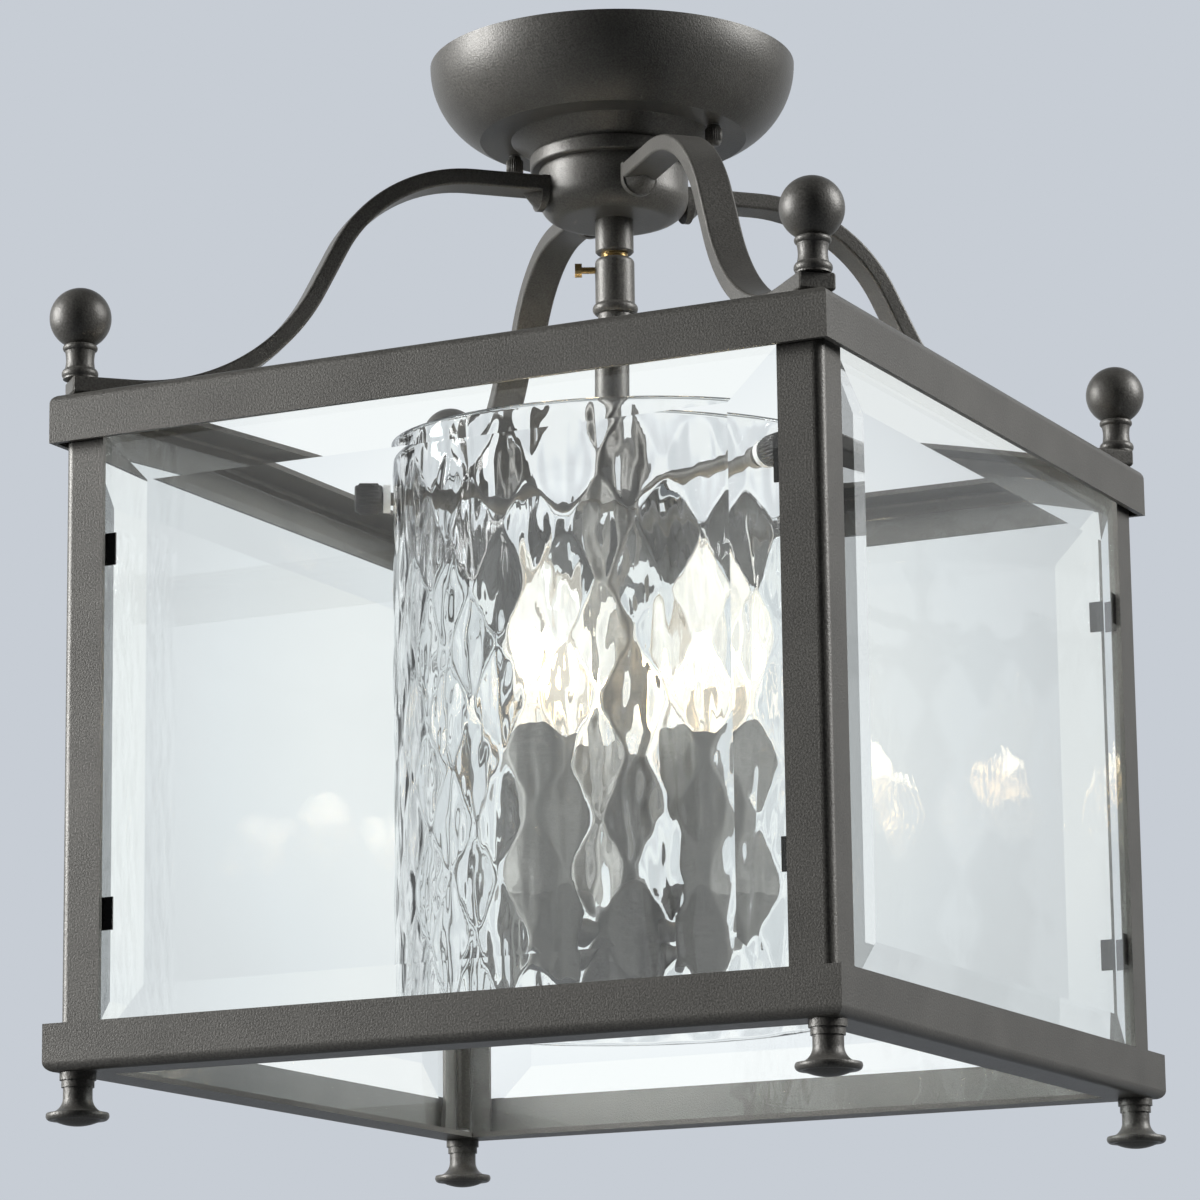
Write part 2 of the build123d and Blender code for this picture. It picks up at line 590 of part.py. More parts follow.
def cluster_body():
    """Turned body on the stem's foot with an arm out to each lamp's cup."""
    seat = STEM_BOTTOM_Z
    crown = (CLUSTER_TOP_R, CLUSTER_TOP_Z)
    shoulder = (CLUSTER_R, CLUSTER_SHOULDER_Z)
    belly = (CLUSTER_R, CLUSTER_BELLY_Z)
    knob = (CLUSTER_KNOB_R, CLUSTER_BOTTOM_Z)
    body = turned(
        Polyline((0, CLUSTER_BOTTOM_Z), (0, seat), (STEM_R, seat), (STEM_R, CLUSTER_TOP_Z), crown),
        RadiusArc(crown, shoulder, CLUSTER_SHOULDER_R),
        Line(shoulder, belly),
        ThreePointArc(belly, CLUSTER_CURVE, knob),
        Line(knob, (0, CLUSTER_BOTTOM_Z)))
    for angle in LAMP_ANGLES:
        body += radial(drill(LAMP_ARM_R, LAMP_ARM_FROM, LAMP_RADIUS), angle, LAMP_ARM_Z)
    for cup in on_lamps(lamp_form()):
        body -= cup
    return body


def lamp_form():
    """Outside of a lamp's cup as a plain cone."""
    return turned_points(
        (0, CUP_BOTTOM_Z), (CUP_FOOT_R, CUP_BOTTOM_Z), (CUP_LIP_R, CUP_STEP_Z), (0, CUP_STEP_Z))


def candle_sleeve():
    return tube(SLEEVE_R, SLEEVE_R - SLEEVE_WALL, CUP_STEP_Z, SLEEVE_TOP_Z)


def lamp_socket():
    """Lamp holder inside the sleeve, open at the top for the bulb's screw base."""
    floor = CUP_BOTTOM_Z + CUP_FLOOR
    return turned_points(
        (0, floor), (SOCKET_FOOT_R, floor), (SOCKET_FOOT_R, CUP_STEP_Z), (SOCKET_R, CUP_STEP_Z),
        (SOCKET_R, SOCKET_TOP_Z), (SOCKET_BORE_R, SOCKET_TOP_Z), (SOCKET_BORE_R, SOCKET_BORE_Z),
        (0, SOCKET_BORE_Z))


def bulb_base():
    """Screw base with its centre contact."""
    return turned_points(
        (0, BULB_BASE_BOTTOM_Z), (BULB_CONTACT_R, BULB_BASE_BOTTOM_Z), (BULB_CONE_R, BULB_CONE_Z),
        (BULB_BASE_R, BULB_SHELL_Z), (BULB_BASE_R, BULB_NECK_Z), (0, BULB_NECK_Z))


def bulb_form(inset):
    """Candle bulb's glass as a solid on the base, drawn in by the inset."""
    neck = (BULB_NECK_R - inset, BULB_NECK_Z)
    belly = (BULB_R - inset, BULB_BELLY_Z)
    shoulder = (BULB_SHOULDER_R - inset, BULB_SHOULDER_Z)
    tip = (0, BULB_TIP_Z - inset)
    return turned(
        Spline(neck, belly, shoulder, tip, tangents=[(1, 2), (-1, 0)]),
        Polyline(tip, (0, BULB_NECK_Z), neck))


def bulb_glass():
    return bulb_form(0) - bulb_form(BULB_WALL)


def save(node, *solids):
    """Write one node: a single solid, or a group of separate like ones."""
    shape = solids[0] if len(solids) == 1 else Compound(children=list(solids))
    export_step(shape, f"parts/{node}.step")


def save_each(node, solids):
    """Write repeated pieces as numbered nodes."""
    for number, solid in enumerate(solids, start=1):
        save(f"{node}_{number}", solid)


def save_ceiling_end():
    save("canopy", canopy())
    save("mounting_strap", mounting_strap())
    save("canopy_studs", *canopy_studs())
    save_each("canopy_nut", [Pos(side * STUD_X, 0, 0) * canopy_nut() for side in (-1, 1)])
    save("hub_collar", hub_collar())
    save("hub", hub())
    save("hub_nipple", hub_nipple())
    save("hub_locknut", hub_locknut())
    save("upper_stem", upper_stem())


def save_cage():
    save_each("arm", [Rot(0, 0, -45) * side for side in on_sides(arm())])
    save("arm_screws", *[radial(arm_screw(), 90 * side - 45, ARM_HUB_Z) for side in range(4)])
    save("top_ring", Pos(0, 0, TOP_RING_Z) * ring(TOP_RING_DEPTH, FINIAL_CORNER))
    save("bottom_ring", Pos(0, 0, BOTTOM_RING_Z) * Rot(180, 0, 0) * ring(BOTTOM_RING_DEPTH, FOOT_CORNER))
    save_each("post", on_sides(post()))
    save_each("ball_finial", at_corners(ball_finial(), FINIAL_CORNER))
    save("finial_nuts", *at_corners(finial_nut(), FINIAL_CORNER))
    save_each("foot_finial", at_corners(foot_finial(), FOOT_CORNER))
    save("foot_screws", *at_corners(foot_screw(), FOOT_CORNER))
    save_each("pane", on_sides(pane()))
    save("pane_clips", *pane_clips())


def save_light_unit():
    save("stem_coupling", stem_coupling())
    save("lower_stem", lower_stem())
    save("set_screw", set_screw())
    save("glass_holder", glass_holder())
    save("glass_cylinder", glass_cylinder())
    save("glass_washers", *glass_washers())
    save_each("glass_nut", [radial(glass_nut(), angle, HOLDER_Z) for angle in HOLDER_ANGLES])
    save("cluster_body", cluster_body())
    save_each("candle_cup", on_lamps(lamp_cup()))
    save("lamp_sockets", *on_lamps(lamp_socket()))
    save_each("candle_sleeve", on_lamps(candle_sleeve()))
    save_each("bulb_base", on_lamps(bulb_base()))
    save_each("bulb_glass", on_lamps(bulb_glass()))


os.makedirs("parts", exist_ok=True)
save_ceiling_end()
save_cage()
save_light_unit()
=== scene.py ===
import json
import random
from math import cos, pi, radians, sin, sqrt, tau

import bpy
from mathutils import Matrix, Vector, noise

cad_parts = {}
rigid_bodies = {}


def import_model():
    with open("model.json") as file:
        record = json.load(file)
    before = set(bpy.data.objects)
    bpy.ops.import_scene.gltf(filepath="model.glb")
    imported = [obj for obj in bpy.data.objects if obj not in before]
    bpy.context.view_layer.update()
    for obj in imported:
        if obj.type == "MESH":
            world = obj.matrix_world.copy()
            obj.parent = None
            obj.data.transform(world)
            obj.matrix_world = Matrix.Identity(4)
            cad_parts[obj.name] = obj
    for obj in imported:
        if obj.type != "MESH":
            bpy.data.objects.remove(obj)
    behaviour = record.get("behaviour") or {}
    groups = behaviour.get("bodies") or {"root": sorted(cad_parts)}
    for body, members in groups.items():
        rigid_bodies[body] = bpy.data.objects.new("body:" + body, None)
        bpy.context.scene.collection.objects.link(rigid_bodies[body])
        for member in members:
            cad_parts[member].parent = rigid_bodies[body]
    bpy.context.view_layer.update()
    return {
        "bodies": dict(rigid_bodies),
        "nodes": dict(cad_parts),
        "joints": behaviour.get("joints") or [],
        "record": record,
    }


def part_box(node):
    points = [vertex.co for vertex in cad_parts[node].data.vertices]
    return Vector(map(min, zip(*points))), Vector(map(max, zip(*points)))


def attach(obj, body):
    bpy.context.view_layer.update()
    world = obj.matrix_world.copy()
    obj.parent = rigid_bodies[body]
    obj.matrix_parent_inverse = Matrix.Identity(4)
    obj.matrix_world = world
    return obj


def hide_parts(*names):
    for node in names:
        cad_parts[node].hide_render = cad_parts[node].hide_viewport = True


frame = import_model()
nodes = frame["nodes"]
joints = {joint["name"]: joint for joint in frame["joints"]}

# Sizes are in metres, lens and sensor in millimetres, angles in degrees and powers in watts.

# Camera, solved from the photograph's straight edges: right of the front pane, looking up a little
CAMERA_PLACE = (0.7585, -1.5525, -0.5699)
CAMERA_AZIMUTH = 26.271
CAMERA_ELEVATION = -11.983
CAMERA_ROLL = -0.715
CAMERA_LENS = 145.16
CAMERA_SENSOR = 36.0
CAMERA_CLIP = 50

# Studio: the camera sees a flat pale backdrop. Glass shows SPOT_TONES and gloss shows WALL_TONES, by the
# angle from a spot behind the part. CEILING_TONES dims both, by the angle from straight up. Each tone is a
# pair of an angle and a colour.
BACKDROP = (0.571, 0.610, 0.665)
SPOT_ELEVATION = 10.7
SPOT_TONES = ((0.0, (0.97, 1.0, 1.0)), (3.3, (0.96, 0.99, 1.0)), (4.5, (0.87, 0.91, 0.94)),
              (5.6, (0.77, 0.80, 0.83)), (8.0, (0.72, 0.76, 0.79)), (13.0, (0.72, 0.76, 0.79)),
              (20.0, (0.92, 0.95, 0.97)), (34.0, (0.92, 0.95, 0.97)), (46.0, (0.53, 0.55, 0.57)),
              (56.0, (0.53, 0.55, 0.57)), (72.0, (0.90, 0.92, 0.94)), (105.0, (0.97, 0.98, 1.0)))
WALL_TONES = ((0.0, (0.70, 0.73, 0.76)), (30.0, BACKDROP), (46.0, (0.22, 0.23, 0.24)),
              (105.0, (0.05, 0.053, 0.056)))
CEILING_TONES = ((0.0, (0.22, 0.23, 0.24)), (35.0, (0.22, 0.23, 0.24)), (56.0, (1.0, 1.0, 1.0)))
AMBIENT = (0.97, 0.98, 1.0)
AMBIENT_STRENGTH = 0.03

# Floor: it shows as the backdrop's colour times FLOOR_GLOW, or times FLOOR_MIRRORED in gloss
FLOOR_HEIGHT = -2.0
FLOOR_SIZE = 12.0
FLOOR_COLOUR = (0.80, 0.81, 0.82)
FLOOR_DARKER_SHARE = 0.97
FLOOR_MOTTLE_SCALE = 3
FLOOR_GLOW = 0.85
FLOOR_MIRRORED = 0.25

# Lights: two panels that face the part, by name, place and power, and a lamp in each bulb
PANELS = (("left", (-1.92, -0.97, 0.32), 14), ("right", (1.80, 0.80, 0.75), 9.5))
PANEL_SIZE = (0.8, 1.3)
PANEL_SPREAD = 70.0
PART_CENTRE = (0.0, 0.0, -0.23)
BULB_LAMP_POWER = 0.02
BULB_LAMP_COLOUR = (1.0, 0.84, 0.62)
BULB_LAMP_RADIUS = 0.006

# Sockets of a Mix node that has its data type set to colour
MIX_FIRST = 6
MIX_SECOND = 7
MIX_RESULT = 2

# Finishes: the part of a noise's range that ramps and spans of roughness cover, then each kind's own values
RAMP_START = 0.35
RAMP_END = 0.65
SPAN_START = 0.3
SPAN_END = 0.7
PAINT_GRAIN_SCALE = 1500
PAINT_SLOW_SCALE = 45
PAINT_SLOW_SHARE = 0.35
PAINT_CONTRAST = 0.22
PAINT_ROUGH_SPAN = 0.07
PAINT_BUMP = 0.00018
PAINT_BUMP_STRENGTH = 0.6
METAL_MARK_SCALE = 900
METAL_MARK_STRETCH = (1, 1, 6)
METAL_SMOOTHER = 0.06
METAL_ROUGHER = 0.08
METAL_BUMP = 0.00005
METAL_BUMP_STRENGTH = 0.4
PLASTIC_MOTTLE_SCALE = 700
PLASTIC_ROUGH_SPAN = 0.05
PLASTIC_BUMP = 0.00008
PLASTIC_BUMP_STRENGTH = 0.3
GLASS_INDEX = 1.5
GLASS_SHADOW = (0.94, 0.95, 0.95)
HAMMERED_STRETCH = (1, 1, 0.4)
HEAT_SCALE = 160

# Relief of the hammered glass: leaves with a middle rib in staggered columns, each a little uneven
LEAF_SEED = 7
LEAF_COLUMNS = 42
LEAF_PITCH = 0.041
LEAF_DEPTH = 0.0012
LEAF_MEAN_HEIGHT = 0.5
LEAF_HALF_HEIGHT = 0.0195
LEAF_WIDTH_SHARE = 0.86
LEAF_ROUND = 0.4
LEAF_RIB_ROUND = 0.0006
LEAF_SHIFT = 0.0016
LEAF_LIFT = 0.004
LEAF_SIZES = (0.85, 1.12)
LEAF_LEAN = 0.10
LEAF_DEPTHS = (0.75, 1.2)

# Hammered glass: waves are pairs of a scale and a height, drawn out along Z
GLASS_STEPS_ROUND = 504
GLASS_STEPS_HIGH = 176
GLASS_PLAIN_RIM = 0.004
GLASS_WALL = 0.004
GLASS_WAVES = ((90, 0.00030), (300, 0.00014))
GLASS_WAVE_SQUEEZE = 0.28
GLASS_INNER_WAVE = 1.2
ROD_HOLE = 0.003
ROD_HOLE_STEPS = 32

# Thumb nuts: a knurled belt between two plain rims
KNURL_TEETH = 26
KNURL_TOOTH_STEPS = 8
KNURL_DEPTH = 0.00035
KNURL_CUT = 1.6
NUT_RIM_DROP = 2.2
NUT_EDGE = 0.0006
NUT_FACE_RING = 0.3

# Threads: the nipple's all along it, and the set screw's as start, end and radius along its axis
THREAD_PITCH = 0.0010
THREAD_DEPTH = 0.00035
THREAD_STEPS = 10
NIPPLE_STEPS = 40
NIPPLE_BORE_SHARE = 0.72
NIPPLE_END_SHARE = 0.9
NIPPLE_CHAMFER = 0.0002
SCREW_THREAD = (0.0082, 0.0120, 0.00118)
SCREW_PITCH = 0.0006
SCREW_RIDGE = 0.00018
SCREW_STEPS = 12

# Bulbs: heights of what is inside are above the neck. STEM lists radius and height up to the stem's head,
# which is at the filament's foot, and LEAD lists distance from the axis and height up to the same foot.
BULBS = (1, 2, 3)
BULB_STEPS = 40
BULB_STEPS_ROUND = 48
BULB_BELLY = 0.37
BULB_NECK_SHARE = 0.4
BULB_SWELL = 1.3
BULB_TAPER = 0.8
BULB_WALL = 0.0009
FILAMENT_LOOPS = 8
FILAMENT_FOOT = 0.022
FILAMENT_HEAD = 0.040
FILAMENT_RING = 0.0085
FILAMENT_WIRE = 0.00022
STEM = ((0, 0.0012), (0.0032, 0.0012), (0.0030, 0.006), (0.0016, 0.012))
STEM_HEAD_RADIUS = 0.0014
STEM_HEAD_HEIGHT = 0.0008
STEM_STEPS = 20
LEAD = ((0.0012, 0.010), (0.003, 0.016))
LEAD_WIRE = 0.0003


def set_camera():
    azimuth, elevation, roll = (radians(a) for a in (CAMERA_AZIMUTH, CAMERA_ELEVATION, CAMERA_ROLL))
    back = Vector((sin(azimuth) * cos(elevation), -cos(azimuth) * cos(elevation), sin(elevation)))
    right = (-back).cross(Vector((0, 0, 1))).normalized()
    up = right.cross(-back)
    side = right * cos(roll) + up * sin(roll)
    top = up * cos(roll) - right * sin(roll)
    camera = bpy.data.objects.new("camera", bpy.data.cameras.new("camera"))
    bpy.context.scene.collection.objects.link(camera)
    camera.matrix_world = Matrix((side, top, back)).transposed().to_4x4()
    camera.location = CAMERA_PLACE
    camera.data.lens = CAMERA_LENS
    camera.data.sensor_width = CAMERA_SENSOR
    camera.data.clip_end = CAMERA_CLIP
    bpy.context.scene.camera = camera


def add_node(tree, kind, **settings):
    made = tree.nodes.new(kind)
    for key, value in settings.items():
        setattr(made, key, value)
    return made


class Shader:
    """A material's node tree with short calls for what the materials here share."""

    def __init__(self, name):
        self.material = bpy.data.materials.new(name)
        self.material.use_nodes = True
        self.tree = self.material.node_tree
        self.bsdf = self.tree.nodes["Principled BSDF"]
        self.place = self.node("ShaderNodeTexCoord").outputs["Object"]

    def node(self, kind, **settings):
        return add_node(self.tree, kind, **settings)

    def link(self, source, target):
        self.tree.links.new(source, target)

    def set(self, **values):
        for key, value in values.items():
            self.bsdf.inputs[key.replace("_", " ")].default_value = value
        return self

    def noise(self, scale, detail, stretch=(1, 1, 1)):
        mapping = self.node("ShaderNodeMapping")
        mapping.inputs["Scale"].default_value = stretch
        self.link(self.place, mapping.inputs["Vector"])
        texture = self.node("ShaderNodeTexNoise")
        texture.inputs["Scale"].default_value = scale
        texture.inputs["Detail"].default_value = detail
        self.link(mapping.outputs["Vector"], texture.inputs["Vector"])
        return texture.outputs["Fac"]

    def ramp(self, factor, low, high, start=RAMP_START, end=RAMP_END):
        ramp = self.node("ShaderNodeValToRGB")
        ramp.color_ramp.elements[0].position = start
        ramp.color_ramp.elements[1].position = end
        ramp.color_ramp.elements[0].color = (*low, 1)
        ramp.color_ramp.elements[1].color = (*high, 1)
        self.link(factor, ramp.inputs["Fac"])
        return ramp.outputs["Color"]

    def spread(self, factor, low, high):
        span = self.node("ShaderNodeMapRange")
        span.inputs["From Min"].default_value = SPAN_START
        span.inputs["From Max"].default_value = SPAN_END
        span.inputs["To Min"].default_value = low
        span.inputs["To Max"].default_value = high
        self.link(factor, span.inputs["Value"])
        return span.outputs["Result"]

    def bump(self, height, distance, strength=1.0):
        bump = self.node("ShaderNodeBump")
        bump.inputs["Distance"].default_value = distance
        bump.inputs["Strength"].default_value = strength
        self.link(height, bump.inputs["Height"])
        self.link(bump.outputs["Normal"], self.bsdf.inputs["Normal"])

    def let_lamps_through(self, tint):
        """Let the light of lamps pass the surface, with a faint tint."""
        clear = self.node("ShaderNodeBsdfTransparent")
        clear.inputs["Color"].default_value = (*tint, 1)
        path = self.node("ShaderNodeLightPath")
        mix = self.node("ShaderNodeMixShader")
        self.link(path.outputs["Is Shadow Ray"], mix.inputs["Fac"])
        self.link(self.bsdf.outputs["BSDF"], mix.inputs[1])
        self.link(clear.outputs["BSDF"], mix.inputs[2])
        self.link(mix.outputs["Shader"], self.tree.nodes["Material Output"].inputs["Surface"])


def paint(name, low, high, roughness):
    """Dark sprayed finish with a fine grain and a slow change of tone."""
    shader = Shader(name)
    grain = shader.noise(PAINT_GRAIN_SCALE, detail=2.0)
    slow = shader.node("ShaderNodeMath", operation="MULTIPLY_ADD")
    slow.inputs[1].default_value = PAINT_SLOW_SHARE
    shader.link(shader.noise(PAINT_SLOW_SCALE, detail=4.0), slow.inputs[0])
    shader.link(grain, slow.inputs[2])
    middle = 0.5 + 0.5 * PAINT_SLOW_SHARE
    shade = shader.ramp(slow.outputs["Value"], low, high, middle - PAINT_CONTRAST, middle + PAINT_CONTRAST)
    shader.link(shade, shader.bsdf.inputs["Base Color"])
    rough = shader.spread(grain, roughness - PAINT_ROUGH_SPAN, roughness + PAINT_ROUGH_SPAN)
    shader.link(rough, shader.bsdf.inputs["Roughness"])
    shader.bump(grain, PAINT_BUMP, PAINT_BUMP_STRENGTH)
    return shader.set(Metallic=0.25, IOR=1.45).material


def metal(name, low, high, roughness):
    """Bare or plated metal with faint turning marks."""
    shader = Shader(name)
    marks = shader.noise(METAL_MARK_SCALE, detail=4.0, stretch=METAL_MARK_STRETCH)
    shader.link(shader.ramp(marks, low, high), shader.bsdf.inputs["Base Color"])
    rough = shader.spread(marks, roughness - METAL_SMOOTHER, roughness + METAL_ROUGHER)
    shader.link(rough, shader.bsdf.inputs["Roughness"])
    shader.bump(marks, METAL_BUMP, METAL_BUMP_STRENGTH)
    return shader.set(Metallic=1.0).material


def plastic(name, low, high, roughness):
    """Matt moulded plastic with a faint mottle."""
    shader = Shader(name)
    mottle = shader.noise(PLASTIC_MOTTLE_SCALE, detail=3.0)
    shader.link(shader.ramp(mottle, low, high), shader.bsdf.inputs["Base Color"])
    rough = shader.spread(mottle, roughness - PLASTIC_ROUGH_SPAN, roughness + PLASTIC_ROUGH_SPAN)
    shader.link(rough, shader.bsdf.inputs["Roughness"])
    shader.bump(mottle, PLASTIC_BUMP, PLASTIC_BUMP_STRENGTH)
    return shader.material


def glass(name, low, high, ripple_scale, ripple, stretch=(1, 1, 1)):
    """Clear glass with a faint change of tint and a slow ripple."""
    shader = Shader(name)
    wave = shader.noise(ripple_scale, detail=2.0, stretch=stretch)
    shader.link(shader.ramp(wave, low, high), shader.bsdf.inputs["Base Color"])
    shader.bump(wave, ripple)
    shader.set(Transmission_Weight=1.0, Roughness=0.0, IOR=GLASS_INDEX)
    shader.let_lamps_through(GLASS_SHADOW)
    return shader


def glow(name, low, high, strength):
    """Hot wire, hotter in some stretches than in others."""
    shader = Shader(name)
    heat = shader.noise(HEAT_SCALE, detail=1.0)
    colour = shader.ramp(heat, low, high)
    shader.link(colour, shader.bsdf.inputs["Emission Color"])
    shader.link(colour, shader.bsdf.inputs["Base Color"])
    return shader.set(Emission_Strength=strength, Roughness=0.6).material


def make_materials():
    """One material for each slot of the record, and two more: the glass nuts' paint, a darker copy of the
    bronze paint that paints shade on them, and the filaments.
    """
    return {
        "bronze_paint": paint("bronze_paint", (0.082, 0.079, 0.072), (0.152, 0.147, 0.134), 0.42),
        # Painted shade: the glass nuts are bronze_paint like the rest, made darker here so they look shaded
        "shaded_knob_paint": paint("shaded_knob_paint", (0.034, 0.033, 0.031), (0.066, 0.064, 0.060), 0.45),
        "dark_clip": paint("dark_clip", (0.032, 0.032, 0.031), (0.058, 0.058, 0.056), 0.50),
        "zinc_steel": metal("zinc_steel", (0.46, 0.46, 0.45), (0.60, 0.60, 0.59), 0.35),
        "brass": metal("brass", (0.50, 0.34, 0.14), (0.68, 0.50, 0.24), 0.30),
        "bulb_base": metal("bulb_base", (0.55, 0.46, 0.30), (0.72, 0.64, 0.46), 0.28),
        "white_washer": plastic("white_washer", (0.78, 0.78, 0.76), (0.86, 0.86, 0.85), 0.5),
        "socket_plastic": plastic("socket_plastic", (0.030, 0.030, 0.030), (0.055, 0.055, 0.055), 0.45),
        "pane_glass": glass("pane_glass", (0.972, 0.988, 0.982), (0.980, 0.994, 0.989), 9, 0.00002).material,
        "hammered_glass": glass("hammered_glass", (0.975, 0.985, 0.985), (0.995, 1.0, 1.0), 130, 0.00010,
                                HAMMERED_STRETCH).material,
        "bulb_glass": glass("bulb_glass", (0.97, 0.96, 0.93), (0.99, 0.985, 0.97), 40, 0.00002).set(
            Emission_Color=(1.0, 0.93, 0.80, 1), Emission_Strength=0.10).material,
        "filament": glow("filament", (1.0, 0.66, 0.30), (1.0, 0.80, 0.50), 8.0),
    }


def new_piece(name, vertices, faces, material, smooth=True):
    mesh = bpy.data.meshes.new(name)
    mesh.from_pydata(vertices, [], faces)
    mesh.validate()
    mesh.update()
    mesh.polygons.foreach_set("use_smooth", [smooth] * len(mesh.polygons))
    mesh.materials.append(material)
    piece = bpy.data.objects.new(name, mesh)
    bpy.context.scene.collection.objects.link(piece)
    return piece


def mount_piece(piece, body, slot, *replaced):
    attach(piece, body)
    if replaced:
        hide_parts(*replaced)


def turned(profile, steps, shape=None, place=Matrix()):
    """Points and faces of a turned surface about Z. The profile's points (radius, height) run with the
    outside on their right, and a radius of 0 is a pole. shape, where given, changes a point's radius by its
    angle and height."""
    points, rows, faces = [], [], []
    for radius, height in profile:
        row = []
        for step in range(steps if radius else 1):
            angle = tau * step / steps
            r = shape(radius, angle, height) if shape and radius else radius
            row.append(len(points))
            points.append(place @ Vector((r * cos(angle), r * sin(angle), height)))
        rows.append(row)
    for low, high in zip(rows, rows[1:]):
        for step in range(steps):
            after = (step + 1) % steps
            if len(low) == 1:
                faces.append((low[0], high[after], high[step]))
            elif len(high) == 1:
                faces.append((low[step], low[after], high[0]))
            else:
                faces.append((low[step], low[after], high[after], high[step]))
    return points, faces


def merged(surfaces):
    """Points and faces of several surfaces as one."""
    points, faces = [], []
    for more, ring in surfaces:
        faces += [tuple(len(points) + corner for corner in face) for face in ring]
        points += more
    return points, faces


def turned_piece(name, profiles, steps, material, shape=None, place=Matrix()):
    """Piece made of one turned surface for each profile."""
    points, faces = merged(turned(profile, steps, shape, place) for profile in profiles)
    return new_piece(name, points, faces, material)


def wire(name, points, thickness, material):
    """Thin wire along a run of points."""
    curve = bpy.data.curves.new(name, "CURVE")
    curve.dimensions = "3D"
    curve.bevel_depth = thickness
    curve.bevel_resolution = 2
    spline = curve.splines.new("NURBS")
    spline.points.add(len(points) - 1)
    for point, spot in zip(spline.points, points):
        point.co = (*spot, 1)
    spline.order_u = 3
    spline.use_endpoint_u = True
    curve.materials.append(material)
    piece = bpy.data.objects.new(name, curve)
    bpy.context.scene.collection.objects.link(piece)
    return piece


def along(axis, origin):
    """Placement that turns +Z to this axis."""
    turn = Vector((0, 0, 1)).rotation_difference(Vector(axis))
    return Matrix.Translation(origin) @ turn.to_matrix().to_4x4()


def reach_of(node, axis, origin):
    """How far a node reaches along an axis from a point on it, both ways, and how far out from it."""
    along_axis, away = [], []
    for vertex in nodes[node].data.vertices:
        offset = vertex.co - origin
        along_axis.append(offset.dot(axis))
        away.append((offset - axis * along_axis[-1]).length)
    return min(along_axis), max(along_axis), max(away)


def knurled(radius, angle):
    tooth = abs((angle / tau * KNURL_TEETH) % 1 - 0.5) * 2
    return radius - KNURL_DEPTH * (1 - tooth) ** 2 * KNURL_CUT


def knurled_nut(name, node, joint, material):
    """Thumb nut with straight knurling between two plain rims, in a node's place."""
    axis = Vector(joint["axis"]).normalized()
    origin = Vector(joint["pos_m"])
    low, high, radius = reach_of(node, axis, origin)
    edge = NUT_EDGE
    bare = radius - NUT_RIM_DROP * KNURL_DEPTH
    profile = [
        (0, low), (bare - edge, low), (bare, low + edge), (bare, low + 2 * edge),
        (radius, low + 3 * edge), (radius, high - 3 * edge), (bare, high - 2 * edge), (bare, high - edge),
        (bare - edge, high), (radius * NUT_FACE_RING, high), (0, high)]

    def shape(r, angle, height):
        on_belt = low + 2.5 * edge < height < high - 2.5 * edge
        return knurled(r, angle) if on_belt else r

    steps = KNURL_TEETH * KNURL_TOOTH_STEPS
    return turned_piece(name, [profile], steps, material, shape, along(axis, origin))


def make_nuts(materials):
    """Knurled thumb nuts under the canopy and on the glass holder's rods."""
    # The canopy nuts take the bronze paint; the glass nuts take its darker copy, which is painted shade
    for kind, count, plain_or_shaded_paint in (("canopy", 2, "bronze_paint"), ("glass", 3, "shaded_knob_paint")):
        for number in range(1, count + 1):
            node = f"{kind}_nut_{number}"
            joint = joints[f"{node}_turn"]
            piece = knurled_nut(f"{kind}_thumb_nut_{number}", node, joint, materials[plain_or_shaded_paint])
            mount_piece(piece, node, "bronze_paint", node)


def thread_profile(radius, low, high):
    count = int((high - low) / THREAD_PITCH * THREAD_STEPS)
    return [(radius, low + (high - low) * i / count) for i in range(count + 1)]


def threaded(radius, angle, height):
    turn = (height / THREAD_PITCH - angle / tau) % 1
    return radius - THREAD_DEPTH * abs(turn - 0.5) * 2


def make_nipple(materials):
    """Tube with a thread all along its outside."""
    low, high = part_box("hub_nipple")
    radius = (high.x - low.x) / 2
    bore, end = radius * NIPPLE_BORE_SHARE, radius * NIPPLE_END_SHARE
    outside = thread_profile(radius, low.z, high.z)
    profile = [(bore, low.z + NIPPLE_CHAMFER), (end, low.z), *outside, (end, high.z),
               (bore, high.z - NIPPLE_CHAMFER), (bore, low.z + NIPPLE_CHAMFER)]

    def shape(r, angle, height):
        return threaded(r, angle, height) if r == radius else r

    piece = turned_piece("threaded_nipple", [profile], NIPPLE_STEPS, materials["brass"], shape)
    mount_piece(piece, "frame", "brass", "hub_nipple")


def make_set_screw_thread(materials):
    """Thread ridge on the set screw's shank, which stays as it is under it."""
    joint = joints["set_screw_turn"]
    axis = Vector(joint["axis"]).normalized()
    place = along(axis, (0, 0, joint["pos_m"][2]))
    start, end, shank = SCREW_THREAD
    turns = (end - start) / SCREW_PITCH
    steps = int(turns * SCREW_STEPS)
    points = []
    for i in range(steps + 1):
        angle = tau * turns * i / steps
        height = start + (end - start) * i / steps
        points.append(place @ Vector((shank * cos(angle), shank * sin(angle), height)))
    piece = wire("set_screw_thread", points, SCREW_RIDGE, materials["brass"])
    mount_piece(piece, "set_screw", "brass")


def leaf_table(height):
    """One entry for each leaf of the relief: shift, lift, size, lean and depth."""
    rng = random.Random(LEAF_SEED)
    leaves = {}
    rows = int(height / LEAF_PITCH) + 3
    for column in range(LEAF_COLUMNS):
        for row in range(-1, rows):
            leaves[column, row] = (
                rng.uniform(-LEAF_SHIFT, LEAF_SHIFT), rng.uniform(-LEAF_LIFT, LEAF_LIFT),
                rng.uniform(*LEAF_SIZES), rng.uniform(-LEAF_LEAN, LEAF_LEAN), rng.uniform(*LEAF_DEPTHS))
    return leaves


